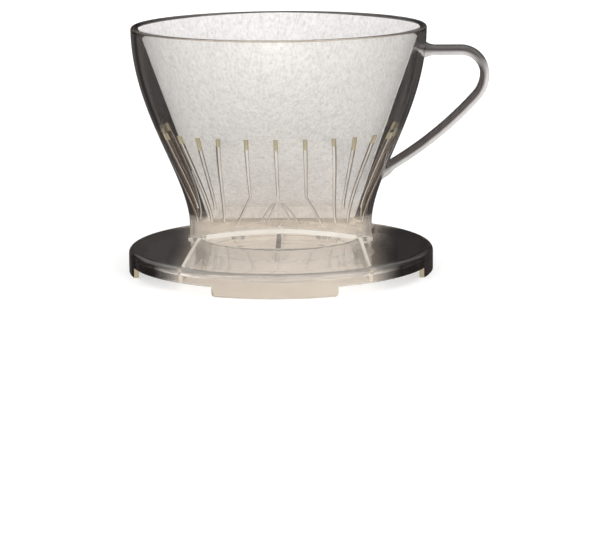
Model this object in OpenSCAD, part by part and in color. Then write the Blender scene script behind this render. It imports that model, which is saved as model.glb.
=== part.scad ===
// Pour over coffee dripper: one clear moulding (cone, drip floor, cup flange and handle)
// and a loose paper filter. Z is up, the cone's axis is Z, the handle points along +X and
// the viewing window faces -Y. The origin is the centre of the locating ring's lower edge,
// which is level with the four skirt tabs that the dripper stands on.

/* [Flange] */
// Radius of the round flange that covers the cup
flange_r = 61; // [56:0.5:66]
// Height of the flange's top face above the standing plane
flange_top = 9.5; // [8.5:0.5:12]
// Thickness of the flange plates
plate_t = 2; // [1.6:0.1:2.4]
// Thickness of the skirt that hangs from the flange's edge
skirt_t = 1.8; // [1.4:0.1:2.2]
// Height of the skirt's lower edge, on which level the cup's lip rests
cup_rest_z = 3.8; // [3:0.1:5]
// Half the angle that the front tab and the rear tab span
tab_half_angle = 23.5; // [15:0.5:28]
// Half the angle that the two side tabs span
side_tab_half_angle = 20; // [15:0.5:28]
// Outer radius of the ring that centres the dripper in the cup
ring_r = 32; // [30:0.5:32]
// Rise of the viewing windows at their inner edge
window_rise = 4.6; // [2:0.1:5.5]

/* [Cone] */
// Height of the rim above the flange's top face
cone_top = 88.5; // [80:0.5:100]
// Height of the cone's lowest ring above the flange's top face
cone_base = 10; // [9:0.5:11]
// Half the width of the rim, along the handle
rim_half_w = 58.6; // [54:0.2:60]
// Half the depth of the rim, across the handle
rim_half_d = 54; // [50:0.5:57]
// Half the width of the cone's foot
foot_half_w = 36.5; // [35:0.5:38]
// Half the depth of the cone's foot
foot_half_d = 10; // [9:0.5:12]
// Wall thickness of the cone
wall = 2; // [1.6:0.1:2.4]
// Number of ribs on each face of the cone, counted from the middle one to the last one
ribs_per_side = 6; // [4:1:6]
// Height of the ribs' flat tops above the flange's top face
rib_top = 48.6; // [40:0.2:55]
// How far a rib stands in from the wall
rib_h = 1.2; // [0.8:0.1:1.4]

/* [Outlets] */
// Distance of each outlet from the middle of the floor
outlet_x = 17; // [12:0.5:20]
// Radius of the outlet's bore
outlet_r = 1.4; // [1:0.1:2]

/* [Handle] */
// Thickness of the handle's bar, seen from the front
bar_t = 3.6; // [3:0.1:4.5]
// Depth of the handle's bar
bar_d = 8; // [6:0.5:11]
// Distance of the handle's outermost centre line from the axis
bar_reach = 81.4; // [78:0.2:84]

/* [Paper filter] */
// Thickness that stands for the paper
paper_t = 0.5; // [0.4:0.1:0.6]
// Half the width of the filter's mouth
paper_half_w = 55.8; // [52:0.2:55.8]
// Half the width of the filter's lower edge
paper_foot_w = 28.9; // [28:0.1:30]
// Height of the filter's mouth above the flange's top face
paper_top = 88; // [80:0.5:88]

/* [Hidden] */

$fn = 96;

// Levels above the standing plane
plate_z = flange_top - plate_t;
foot_z = flange_top + cone_base;
rim_z = flange_top + cone_top;
bead_h = 2.2;
wall_top_z = rim_z - bead_h;

// Round the section of the cone goes from a blunt oval at the foot to an ellipse at the rim
foot_power = 2.6;
rim_power = 2;
// Shape of the taper: the sides follow an S, the front and back flare out and stand up
side_ease = 0.82;
face_ease = 1.6;
section_steps = 64;
cone_rings = 12;

function cone_u(z) = max(0, min(1, (z - foot_z) / (rim_z - foot_z)));
function half_w(z) =
    foot_half_w + (rim_half_w - foot_half_w) * (1 - cos(180 * pow(cone_u(z), side_ease))) / 2;
function half_d(z) =
    foot_half_d + (rim_half_d - foot_half_d) * (1 - pow(1 - cone_u(z), face_ease));
function power(z) = foot_power + (rim_power - foot_power) * cone_u(z);

// A point of an oval section; the angle counts from the front (-Y) towards the handle (+X)
function oval_point(a, b, n, angle) =
    let (s = sin(angle), c = cos(angle))
    [a * sign(s) * pow(abs(s), 2 / n), -b * sign(c) * pow(abs(c), 2 / n)];
function oval(a, b, n) =
    [for (i = [0 : section_steps - 1]) oval_point(a, b, n, 360 * i / section_steps)];
function cone_oval(z, inset) = oval(half_w(z) - inset, half_d(z) - inset, power(z));
function lift(points, z) = [for (p = points) [p[0], p[1], z]];
function reversed(list) = [for (i = [len(list) - 1 : -1 : 0]) list[i]];

// Triangles between two neighbouring rings of the same number of points
function band_faces(low, high, count) =
    [for (i = [0 : count - 1])
        let (j = (i + 1) % count)
        each [[low + i, high + i, high + j], [low + i, high + j, low + j]]];

// A closed tube from a loop of rings: the last ring joins the first
module ring_loop(rings) {
    count = len(rings[0]);
    last = len(rings) - 1;
    polyhedron(
        points = [for (ring = rings) each ring],
        faces = [for (k = [0 : last])
            each band_faces(k * count, (k < last ? k + 1 : 0) * count, count)],
        convexity = 6);
}

// A closed skin from a row of rings, with a flat cap on the first and the last
module ring_row(rings) {
    count = len(rings[0]);
    last = len(rings) - 1;
    polyhedron(
        points = [for (ring = rings) each ring],
        faces = concat(
            [for (k = [0 : last - 1]) each band_faces(k * count, (k + 1) * count, count)],
            [[for (i = [0 : count - 1]) i]],
            [[for (i = [count - 1 : -1 : 0]) last * count + i]]),
        convexity = 6);
}

// ---- Cone -------------------------------------------------------------------------------

module cone_wall() {
    levels = [for (k = [0 : cone_rings]) foot_z + (wall_top_z - foot_z) * k / cone_rings];
    color([0.82, 0.80, 0.76, 0.4])
    ring_loop(concat(
        [for (z = levels) lift(cone_oval(z, 0), z)],
        [for (z = reversed(levels)) lift(cone_oval(z, wall), z)]));
}

// Rounded lip on top of the wall
module rim_bead() {
    lip = wall / 2;
    color([0.82, 0.80, 0.76, 0.5])
    ring_loop([for (a = [0 : 30 : 180])
        let (z = wall_top_z + bead_h - lip + lip * sin(a))
        lift(cone_oval(z, lip - lip * cos(a)), a == 0 || a == 180 ? wall_top_z : z)]);
}

// A rib is a four-sided bar that follows the inside of the wall from its top to its foot
rib_sink = 0.3;
rib_steps = 4;

function wall_point(angle, z, inset) =
    let (p = oval_point(half_w(z) - inset, half_d(z) - inset, power(z), angle))
    [p[0], p[1], z];
function rib_ring(angle, z, width, height) =
    let (
        on_wall = wall_point(angle, z, wall),
        ahead = wall_point(angle + 1, z, wall) - wall_point(angle - 1, z, wall),
        along = ahead / norm(ahead),
        inward = [-along[1], along[0], 0],
        half = along * width / 2)
    [on_wall - half - inward * rib_sink, on_wall + half - inward * rib_sink,
     on_wall + half * 0.8 + inward * height, on_wall - half * 0.8 + inward * height];
module rib(from, to, width, height) {
    ring_row([for (k = [0 : rib_steps])
        let (s = k / rib_steps)
        rib_ring(to[0] + (from[0] - to[0]) * s, to[1] + (from[1] - to[1]) * s,
            width[1] + (width[0] - width[1]) * s, height)]);
}

// Ribs fan in towards the foot; the two next to the middle turn to the outlets, and every
// other one stops short of the floor. Each list goes from the middle rib to the last one.
rib_top_angle = [0, 11, 24.5, 36.5, 50, 65, 81];
rib_foot_angle = [0, 24, 34, 40, 46, 61, 68];
rib_foot_long = 10.8;
rib_foot_short = 17;
rib_w_top = 1.9;
rib_w_foot = 1.2;
fork_z = 20.5;
fork_w = 0.8;
fork_h = 0.7;
bend_z = 23;
bend_angle = 12.5;
outlet_rib_foot = 9.2;

module rib_set(turn) {
    top_z = flange_top + rib_top;
    rib([turn, top_z], [turn, flange_top + fork_z + 1], [rib_w_top, rib_w_foot], rib_h);
    for (side = [-1, 1]) {
        rib([turn + side * rib_top_angle[1], top_z],
            [turn + side * bend_angle, flange_top + bend_z],
            [rib_w_top, rib_w_foot], rib_h);
        rib([turn + side * bend_angle, flange_top + bend_z],
            [turn + side * rib_foot_angle[1], flange_top + outlet_rib_foot],
            [rib_w_foot, rib_w_foot], rib_h);
        for (i = [2 : ribs_per_side])
            rib([turn + side * rib_top_angle[i], top_z],
                [turn + side * rib_foot_angle[i],
                 flange_top + (i % 2 == 0 ? rib_foot_long : rib_foot_short)],
                [rib_w_top, rib_w_foot], rib_h);
    }
}

module front_ribs() {
    color([0.80, 0.77, 0.68, 0.6]) rib_set(0);
}

module rear_ribs() {
    color([0.80, 0.77, 0.68, 0.6]) rib_set(180);
}

// Fine guides below the middle rib, which spread the coffee to both outlets
fork_foot_angles = [4.5, 8.5];
module fork(turn) {
    for (side = [-1, 1])
        for (foot = fork_foot_angles)
            rib([turn + side * foot * 0.16, flange_top + fork_z],
                [turn + side * foot, flange_top + rib_foot_long], [fork_w, fork_w], fork_h);
}

module front_fork() {
    color([0.80, 0.77, 0.68, 0.6]) fork(0);
}

module rear_fork() {
    color([0.80, 0.77, 0.68, 0.6]) fork(180);
}

// ---- Foot of the cone and drip floor ----------------------------------------------------

// The floor is an arch, high in the middle, so that coffee runs to the two outlets
floor_t = 2;
floor_rise = 3.1;
floor_span = 30;
floor_low = 3.3;
floor_lip = 0.8;
arch_r = (floor_span * floor_span + floor_rise * floor_rise) / (2 * floor_rise);
arch_z = flange_top + floor_low + floor_rise - arch_r;

module foot_oval(grow) {
    polygon(oval(foot_half_w + grow, foot_half_d + grow, foot_power));
}

module arch_solid(r) {
    translate([0, 0, arch_z])
        rotate([90, 0, 0])
            cylinder(r = r, h = 4 * ring_r, center = true, $fn = 180);
}

// Everything above the underside of the arch
module above_arch() {
    difference() {
        translate([-2 * ring_r, -2 * ring_r, 0])
            cube([4 * ring_r, 4 * ring_r, rim_z]);
        arch_solid(arch_r);
    }
}

module base_collar() {
    color([0.82, 0.80, 0.76, 0.5])
    difference() {
        translate([0, 0, flange_top])
            linear_extrude(cone_base)
                difference() {
                    foot_oval(0);
                    foot_oval(-wall);
                }
        arch_solid(arch_r + floor_t);
    }
}

// Ends of the foot below the arch, which carry the cone on the wings
module collar_foot() {
    difference() {
        translate([0, 0, flange_top])
            linear_extrude(floor_low + floor_rise)
                intersection() {
                    foot_oval(0);
                    translate([floor_span, -foot_half_d])
                        square([foot_half_w, 2 * foot_half_d]);
                }
        above_arch();
    }
}

module left_collar_foot() {
    color([0.78, 0.75, 0.66, 0.6]) mirror([1, 0, 0]) collar_foot();
}

module right_collar_foot() {
    color([0.78, 0.75, 0.66, 0.6]) collar_foot();
}

module outlet_bores() {
    for (side = [-1, 1])
        translate([side * outlet_x, 0, 0])
            cylinder(r = outlet_r, h = rim_z);
}

module drip_floor() {
    color([0.86, 0.85, 0.82, 0.6])
    difference() {
        intersection() {
            translate([0, 0, flange_top])
                linear_extrude(cone_base)
                    foot_oval(floor_lip);
            arch_solid(arch_r + floor_t);
        }
        arch_solid(arch_r);
        outlet_bores();
    }
}

// Small ridge on the crown of the floor
module floor_crest() {
    crest_w = 1.2;
    crest_h = 1.1;
    crest_len = 2 * (foot_half_d - wall - 0.5);
    color([0.80, 0.77, 0.68, 0.6])
    translate([0, crest_len / 2, arch_z + arch_r + floor_t])
        rotate([90, 0, 0])
            linear_extrude(crest_len)
                polygon([[-crest_w, 0], [crest_w, 0], [0, crest_h]]);
}

// Short spout below the floor, with a thicker root where it meets the arch
outlet_wall = 1.5;
outlet_low = 2.4;
outlet_tip = 1.8;
root_step = 0.8;
module outlet(side) {
    low_z = flange_top + outlet_low;
    difference() {
        translate([side * outlet_x, 0, 0]) {
            translate([0, 0, low_z])
                cylinder(r = outlet_r + outlet_wall, h = outlet_tip);
            translate([0, 0, low_z + outlet_tip])
                cylinder(r = outlet_r + outlet_wall + root_step, h = floor_rise);
        }
        above_arch();
        outlet_bores();
    }
}

module left_outlet() {
    color([0.80, 0.78, 0.70, 0.6]) outlet(-1);
}

module right_outlet() {
    color([0.80, 0.78, 0.70, 0.6]) outlet(1);
}

// ---- Middle of the flange ---------------------------------------------------------------

ring_t = 2;
throat_r = ring_r + 1;
web_t = 2;
window_t = 1.8;
edge_r = 4;
plate_r = flange_r - edge_r;
land_t = 1.6;
land_x = 30.7;
land_lean = 0.123;
land_start = 10;
skirt_in = flange_r - skirt_t;

// Upright plate under the floor, from the front throat to the rear one
module centre_web() {
    reach = throat_r - ring_t;
    shoulder_z = flange_top + window_rise - 1;
    crown_y = foot_half_d + 2;
    crown_z = flange_top + floor_low + floor_rise + 0.5;
    color([0.80, 0.78, 0.70, 0.6])
    difference() {
        translate([-web_t / 2, 0, 0])
            rotate([90, 0, 90])
                linear_extrude(web_t)
                    polygon([[-reach, plate_z], [reach, plate_z], [reach, shoulder_z],
                             [crown_y, crown_z], [-crown_y, crown_z], [-reach, shoulder_z]]);
        above_arch();
    }
}

// Ground plan between the lands of one window; grow moves its sides outwards
module window_plan(grow) {
    far = flange_r;
    polygon([[-land_x - grow, 0], [-land_x - land_lean * far - grow, -far],
             [land_x + land_lean * far + grow, -far], [land_x + grow, 0]]);
}

module window_sector(grow) {
    linear_extrude(rim_z)
        window_plan(grow);
}

module throat() {
    difference() {
        intersection() {
            translate([0, 0, plate_z])
                difference() {
                    cylinder(r = throat_r, h = plate_t + window_rise);
                    translate([0, 0, -1])
                        cylinder(r = throat_r - ring_t, h = rim_z);
                }
            window_sector(-land_t / 2);
        }
        translate([0, 0, flange_top])
            linear_extrude(cone_base)
                foot_oval(floor_lip);
    }
}

module front_throat() {
    color([0.84, 0.82, 0.78, 0.5]) throat();
}

module rear_throat() {
    color([0.84, 0.82, 0.78, 0.5]) mirror([0, 1, 0]) throat();
}

// Sloping pane: level with the flange at its edge and raised at the throat
module window_pane() {
    intersection() {
        rotate_extrude()
            polygon([[throat_r, flange_top + window_rise - window_t],
                     [plate_r, flange_top - plate_t], [plate_r, flange_top],
                     [throat_r, flange_top + window_rise]]);
        window_sector(-land_t / 2);
    }
}

module front_window() {
    color([0.84, 0.82, 0.78, 0.4]) window_pane();
}

module rear_window() {
    color([0.84, 0.82, 0.78, 0.4]) mirror([0, 1, 0]) window_pane();
}

// Space inside the skirt and the rounded edge of the flange
skirt_chamfer = 0.8;
module inside_edge() {
    rotate_extrude()
        polygon([[0, 0], [skirt_in, 0], [skirt_in, plate_z - skirt_chamfer],
                 [skirt_in - skirt_chamfer, plate_z], [plate_r, plate_z],
                 [plate_r, rim_z], [0, rim_z]]);
}

// Upright wall beside a window; the cup's lip rests on the lower edge of all four
module land() {
    lean = atan(land_lean);
    far = sqrt(skirt_in * skirt_in - land_x * land_x);
    intersection() {
        translate([land_x, 0, 0])
            rotate([0, 0, lean - 90])
                rotate([90, 0, 0])
                    translate([0, 0, -land_t / 2])
                        linear_extrude(land_t)
                            polygon([[land_start, cup_rest_z], [far, cup_rest_z],
                                     [far, flange_top + 0.3],
                                     [land_start, flange_top + window_rise]]);
        inside_edge();
    }
}

module front_right_land() {
    color([0.78, 0.75, 0.66, 0.6]) land();
}

module front_left_land() {
    color([0.78, 0.75, 0.66, 0.6]) mirror([1, 0, 0]) land();
}

module rear_right_land() {
    color([0.78, 0.75, 0.66, 0.6]) mirror([0, 1, 0]) land();
}

module rear_left_land() {
    color([0.78, 0.75, 0.66, 0.6]) mirror([1, 0, 0]) mirror([0, 1, 0]) land();
}

// ---- Wings, edge and ring ---------------------------------------------------------------

module wing() {
    translate([0, 0, plate_z])
        linear_extrude(plate_t)
            intersection() {
                circle(r = plate_r);
                polygon([[land_x + land_t / 2, 0],
                         [land_x + land_t / 2 + land_lean * flange_r, -flange_r],
                         [2 * flange_r, -flange_r], [2 * flange_r, flange_r],
                         [land_x + land_t / 2 + land_lean * flange_r, flange_r]]);
            }
}

module right_wing() {
    color([0.22, 0.21, 0.21, 0.9]) wing();
}

module left_wing() {
    color([0.22, 0.21, 0.21, 0.9]) mirror([1, 0, 0]) wing();
}

// Rounded edge of the flange with the skirt below it
module rim_skirt() {
    round_r = 2;
    color([0.30, 0.28, 0.27, 0.8])
    rotate_extrude()
        polygon(concat(
            [[plate_r, plate_z], [plate_r, flange_top]],
            [for (a = [90 : -15 : 0])
                [flange_r - round_r + round_r * cos(a), flange_top - round_r + round_r * sin(a)]],
            [[flange_r, cup_rest_z], [skirt_in, cup_rest_z],
             [skirt_in, plate_z - skirt_chamfer], [skirt_in - skirt_chamfer, plate_z]]));
}

// One tab: a piece of the skirt that reaches down to the standing plane
module tab(half_angle) {
    half = flange_r * sin(half_angle);
    corner = 1.3;
    intersection() {
        difference() {
            cylinder(r = flange_r, h = cup_rest_z);
            translate([0, 0, -1])
                cylinder(r = skirt_in, h = rim_z);
        }
        rotate([90, 0, 0])
            linear_extrude(2 * flange_r)
                polygon([[-half, cup_rest_z + 1], [-half, corner], [-half + corner, 0],
                         [half - corner, 0], [half, corner], [half, cup_rest_z + 1]]);
    }
}

module front_tab() {
    color([0.82, 0.78, 0.66, 0.6]) tab(tab_half_angle);
}

module right_tab() {
    color([0.30, 0.28, 0.27, 0.8]) rotate([0, 0, 90]) tab(side_tab_half_angle);
}

module rear_tab() {
    color([0.82, 0.78, 0.66, 0.6]) rotate([0, 0, 180]) tab(tab_half_angle);
}

module left_tab() {
    color([0.30, 0.28, 0.27, 0.8]) rotate([0, 0, 270]) tab(side_tab_half_angle);
}

// Thick root of the locating ring, under the wings and the throats
module ring_collar() {
    color([0.84, 0.82, 0.78, 0.5])
    translate([0, 0, cup_rest_z])
        difference() {
            cylinder(r = throat_r, h = plate_z - cup_rest_z);
            translate([0, 0, -1])
                cylinder(r = ring_r - ring_t, h = rim_z);
        }
}

module locating_ring() {
    color([0.84, 0.82, 0.78, 0.5])
    difference() {
        cylinder(r = ring_r, h = cup_rest_z);
        translate([0, 0, -1])
            cylinder(r = ring_r - ring_t, h = rim_z);
    }
}

// ---- Handle -----------------------------------------------------------------------------

// The centre line runs out level, turns through a tight and a wide bend, and comes back to
// the cone along a long flat arc
bar_z = flange_top + 78.4;
root_len = 3.4;
tight_r = 9.5;
wide_r = 13;
long_r = 146;
wide_turn = 42;
long_turn = 17;
bar_x = bar_reach - tight_r;
tight_z = bar_z - tight_r;
turn_x = cos(wide_turn);
turn_z = sin(wide_turn);
bow_end = [bar_reach - wide_r + wide_r * turn_x, tight_z - wide_r * turn_z];
long_centre = [bow_end[0] - long_r * turn_x, bow_end[1] + long_r * turn_z];
end_turn = wide_turn + long_turn;
bar_end = [long_centre[0] + long_r * cos(end_turn), long_centre[1] - long_r * sin(end_turn)];

// Section of the bar: flat with round edges
module bar_section() {
    edge = bar_t / 2;
    square([bar_t, bar_d - bar_t], center = true);
    for (side = [-1, 1])
        translate([0, side * (bar_d / 2 - edge)])
            circle(r = edge, $fn = 40);
}

// Part of the bar bent round a centre in the XZ plane; angles count from +X towards +Z
module bar_bend(centre, r, start, sweep) {
    translate([centre[0], 0, centre[1]])
        rotate([90, 0, 0])
            rotate_extrude(angle = sweep, start = start, $fn = 180)
                translate([r, 0])
                    bar_section();
}

module handle_upper_bar() {
    from = half_w(bar_z) + root_len - 0.8;
    color([0.55, 0.53, 0.50, 0.6])
    translate([from, 0, bar_z])
        rotate([0, 90, 0])
            linear_extrude(bar_x - from)
                bar_section();
}

module handle_bow() {
    color([0.55, 0.53, 0.50, 0.6]) {
        bar_bend([bar_x, tight_z], tight_r, 0, 90);
        bar_bend([bar_reach - wide_r, tight_z], wide_r, -wide_turn, wide_turn);
    }
}

module handle_lower_bar() {
    color([0.55, 0.53, 0.50, 0.6])
    bar_bend(long_centre, long_r, -end_turn, long_turn);
}

// A root is a short block that widens from the bar to the wall of the cone
module root_block(length) {
    spread = 1.1;
    edge = bar_t / 2;
    rotate([90, 0, 0])
        translate([0, 0, -bar_d / 2])
            linear_extrude(bar_d)
                polygon([[0, -edge - spread], [length, -edge], [length, edge],
                         [0, edge + spread]]);
}

module upper_handle_root() {
    color([0.80, 0.75, 0.58, 0.7])
    translate([half_w(bar_z) - 0.8, 0, bar_z])
        root_block(root_len);
}

module lower_handle_root() {
    color([0.80, 0.75, 0.58, 0.7])
    translate([bar_end[0], 0, bar_end[1]])
        rotate([0, end_turn - 90, 0])
            translate([-root_len + 0.8, 0, 0])
                root_block(root_len - 0.8);
}

// ---- Paper filter -----------------------------------------------------------------------

seam_h = 4.5;
seam_t = 0.8;
fin_w = 0.5;
paper_low = 11.7;
paper_gap = 0.6;
paper_power = 1.8;
paper_rings = 7;
paper_z0 = flange_top + paper_low;
paper_z1 = flange_top + paper_top;
pocket_z = paper_z0 + seam_h;

function paper_u(z) = (z - paper_z0) / (paper_z1 - paper_z0);
function paper_w(z) = paper_foot_w + (paper_half_w - paper_foot_w) * paper_u(z);
function paper_d(z) =
    let (v = max(0, (z - pocket_z) / (paper_z1 - pocket_z)),
         mouth = rim_half_d - wall - paper_gap,
         slit = seam_t / 2 + paper_t)
    slit + (mouth - slit) * (1 - pow(1 - v, face_ease));
function paper_oval(z, inset) = oval(paper_w(z) - inset, paper_d(z) - inset, paper_power);

// The opened pocket, folded flat at its sides and closed at its foot
module paper_wall() {
    levels = [for (k = [0 : paper_rings]) pocket_z + (paper_z1 - pocket_z) * k / paper_rings];
    inner = concat([pocket_z + paper_t], [for (k = [1 : paper_rings]) levels[k]]);
    color([0.95, 0.94, 0.93])
    ring_row(concat(
        [for (z = levels) lift(paper_oval(z, 0), z)],
        [for (z = reversed(inner)) lift(paper_oval(z, paper_t), z)]));
}

// Crimped seam along the foot
module paper_foot_seam() {
    color([0.92, 0.90, 0.88])
    translate([0, seam_t / 2, 0])
        rotate([90, 0, 0])
            linear_extrude(seam_t)
                polygon([[-paper_w(paper_z0), paper_z0], [paper_w(paper_z0), paper_z0],
                         [paper_w(pocket_z), pocket_z], [-paper_w(pocket_z), pocket_z]]);
}

// Crimped seam up the handle side
module paper_side_seam() {
    color([0.92, 0.90, 0.88])
    translate([0, seam_t / 2, 0])
        rotate([90, 0, 0])
            linear_extrude(seam_t)
                polygon([[paper_w(paper_z0), paper_z0],
                         [paper_w(paper_z0) + fin_w, paper_z0],
                         [paper_w(paper_z1) + fin_w, paper_z1], [paper_w(paper_z1), paper_z1]]);
}

cone_wall();
rim_bead();
front_ribs();
rear_ribs();
front_fork();
rear_fork();
base_collar();
left_collar_foot();
right_collar_foot();
drip_floor();
floor_crest();
left_outlet();
right_outlet();
centre_web();
front_throat();
rear_throat();
front_window();
rear_window();
front_left_land();
front_right_land();
rear_left_land();
rear_right_land();
left_wing();
right_wing();
rim_skirt();
front_tab();
rear_tab();
left_tab();
right_tab();
ring_collar();
locating_ring();
upper_handle_root();
handle_upper_bar();
handle_bow();
handle_lower_bar();
lower_handle_root();
paper_wall();
paper_foot_seam();
paper_side_seam();
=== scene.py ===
import math

import bmesh
import bpy
from mathutils import Matrix, Vector


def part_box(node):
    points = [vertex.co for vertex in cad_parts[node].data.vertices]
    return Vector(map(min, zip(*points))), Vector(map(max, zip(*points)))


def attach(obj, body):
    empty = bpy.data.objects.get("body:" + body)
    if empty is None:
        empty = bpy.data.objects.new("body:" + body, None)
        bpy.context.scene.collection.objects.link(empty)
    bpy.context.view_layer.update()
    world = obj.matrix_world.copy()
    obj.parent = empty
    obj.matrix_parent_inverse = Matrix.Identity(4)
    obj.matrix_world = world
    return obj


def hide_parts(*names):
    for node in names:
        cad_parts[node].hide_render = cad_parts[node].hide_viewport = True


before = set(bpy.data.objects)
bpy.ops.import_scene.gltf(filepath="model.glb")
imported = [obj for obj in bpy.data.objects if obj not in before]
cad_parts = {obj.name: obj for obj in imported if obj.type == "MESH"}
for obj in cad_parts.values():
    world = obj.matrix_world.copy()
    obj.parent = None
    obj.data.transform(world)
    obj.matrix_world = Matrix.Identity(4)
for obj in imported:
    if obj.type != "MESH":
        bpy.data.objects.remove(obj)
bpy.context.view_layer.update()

# The object's lengths are in millimetres here. Its meshes, the floor, the lights and the
# camera's distance are in metres.
MM = 0.001


def low(node, axis):
    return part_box(node)[0]["xyz".index(axis)] / MM


def high(node, axis):
    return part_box(node)[1]["xyz".index(axis)] / MM


# ---- Levels and sizes taken from the frame ------------------------------------------------

REST_Z = high("locating_ring", "z")
PLATE_LOW = low("left_wing", "z")
PLATE_TOP = high("left_wing", "z")
FOOT_Z = low("cone_wall", "z")
RIM_Z = high("rim_bead", "z")
RIM_W = high("rim_bead", "x")
RIM_D = high("rim_bead", "y")
FOOT_W = high("base_collar", "x")
FOOT_D = high("base_collar", "y")
RIB_TOP = high("front_ribs", "z")
FLANGE_R = high("rim_skirt", "x")
RING_R = high("locating_ring", "x")
THROAT_R = high("ring_collar", "x")
OUTLET_X = (low("right_outlet", "x") + high("right_outlet", "x")) / 2
OUTLET_LOW = low("right_outlet", "z")
FLOOR_LIP = high("drip_floor", "x") - FOOT_W
FLOOR_CROWN = high("drip_floor", "z")
PAPER_LOW = low("paper_foot_seam", "z")
PAPER_POCKET = low("paper_wall", "z")
PAPER_TOP = high("paper_wall", "z")
PAPER_W = high("paper_wall", "x")
BAR_REACH = (high("handle_bow", "x")
             - (high("handle_upper_bar", "z") - low("handle_upper_bar", "z")) / 2)
BAR_Z = (low("handle_upper_bar", "z") + high("handle_upper_bar", "z")) / 2

# Neighbouring pieces of the moulding stay this far apart, and fused ones overlap by this much
GAP = 0.02
LAP = 0.15
# Wall of the throat and of the ring below it
THROAT_T = 2
# The walls beside a window run outwards this much per millimetre of their length
LAND_LEAN = 0.123


# ---- Meshes -------------------------------------------------------------------------------

def strip(first, second, closed, paint):
    """Faces between two rows of vertex numbers; a row of one is a pole."""
    count = max(len(first), len(second))
    faces = []
    for i in range(count if closed else count - 1):
        j = (i + 1) % count
        quad = [first[i % len(first)], first[j % len(first)],
                second[j % len(second)], second[i % len(second)]]
        face = [v for k, v in enumerate(quad) if v not in quad[:k]]
        faces.append((face, paint(i) if callable(paint) else paint))
    return faces


def skin(rows, caps=True, looped=False, material=0, paint=None):
    """A closed skin over rows of points. Its ends are capped, or the last row joins the first.
    paint gives a material number from the number of the row and of the point in it."""
    points, numbers = [], []
    for row in rows:
        numbers.append(list(range(len(points), len(points) + len(row))))
        points += row
    faces = []
    last = len(rows) if looped else len(rows) - 1
    for k in range(last):
        chosen = (lambda i, k=k: paint(k, i)) if paint else material
        faces += strip(numbers[k], numbers[(k + 1) % len(rows)], True, chosen)
    if caps and not looped:
        for end in (0, -1):
            if len(numbers[end]) > 2:
                faces.append((list(numbers[end]), material))
    return points, faces


def slab(outline, below, above):
    """An upright prism over a plan; below and above are levels or functions of x and y."""
    def level(rule, x, y):
        return rule(x, y) if callable(rule) else rule
    return skin([[(x, y, level(below, x, y)) for x, y in outline],
                 [(x, y, level(above, x, y)) for x, y in outline]])


def turned(profile, centre=(0, 0), steps=192, material=0):
    """A ring turned from a closed profile of radius and height."""
    rows = []
    for r, z in profile:
        rows.append([(centre[0] + r * math.sin(math.tau * i / steps),
                      centre[1] - r * math.cos(math.tau * i / steps), z)
                     for i in range(steps)])
    return skin(rows, looped=True, material=material)


def pin(r, low_z, high_z, centre, steps=48):
    plan = [(centre[0] + r * math.sin(math.tau * i / steps),
             centre[1] - r * math.cos(math.tau * i / steps)) for i in range(steps)]
    return slab(plan, low_z, high_z)


def mirrored(solid, x=1, y=1):
    points, faces = solid
    return [(px * x, py * y, pz) for px, py, pz in points], faces


def joined(solids):
    points, faces = [], []
    for more_points, more_faces in solids:
        start = len(points)
        points += more_points
        faces += [([start + v for v in face], paint) for face, paint in more_faces]
    return points, faces


# Points this close to each other, and edges this short, are merged; both in metres
SAME_POINT, NO_LENGTH = 1e-7, 1e-8


def piece(name, solid, materials):
    """An object from a solid, with the materials that its faces number."""
    points, faces = solid
    mesh = bpy.data.meshes.new(name)
    mesh.from_pydata([Vector(p) * MM for p in points], [], [face for face, _ in faces])
    for material in materials:
        mesh.materials.append(material)
    mesh.polygons.foreach_set("material_index", [paint for _, paint in faces])
    work = bmesh.new()
    work.from_mesh(mesh)
    bmesh.ops.remove_doubles(work, verts=work.verts, dist=SAME_POINT)
    bmesh.ops.dissolve_degenerate(work, edges=work.edges, dist=NO_LENGTH)
    bmesh.ops.recalc_face_normals(work, faces=work.faces)
    work.to_mesh(mesh)
    work.free()
    made = bpy.data.objects.new(name, mesh)
    bpy.context.scene.collection.objects.link(made)
    return made


def combine(base, solid, materials, operation="UNION"):
    """Fuses a solid with a piece, or cuts it away."""
    tool = piece(base.name + "_tool", solid, materials)
    step = base.modifiers.new("step", "BOOLEAN")
    step.solver = "MANIFOLD"
    step.operation = operation
    step.object = tool
    bpy.context.view_layer.update()
    shown = base.evaluated_get(bpy.context.evaluated_depsgraph_get())
    result = bpy.data.meshes.new_from_object(shown)
    base.modifiers.clear()
    base.data = result
    bpy.data.objects.remove(tool)


def smooth(made, sharp=32):
    """Smooth shading, with edges left sharp beyond an angle in degrees."""
    made.data.shade_smooth()
    made.data.set_sharp_from_angle(angle=math.radians(sharp))


# ---- Materials ----------------------------------------------------------------------------

# The part of its range that a noise mostly fills
NOISE_LOW, NOISE_HIGH = 0.3, 0.7


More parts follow.
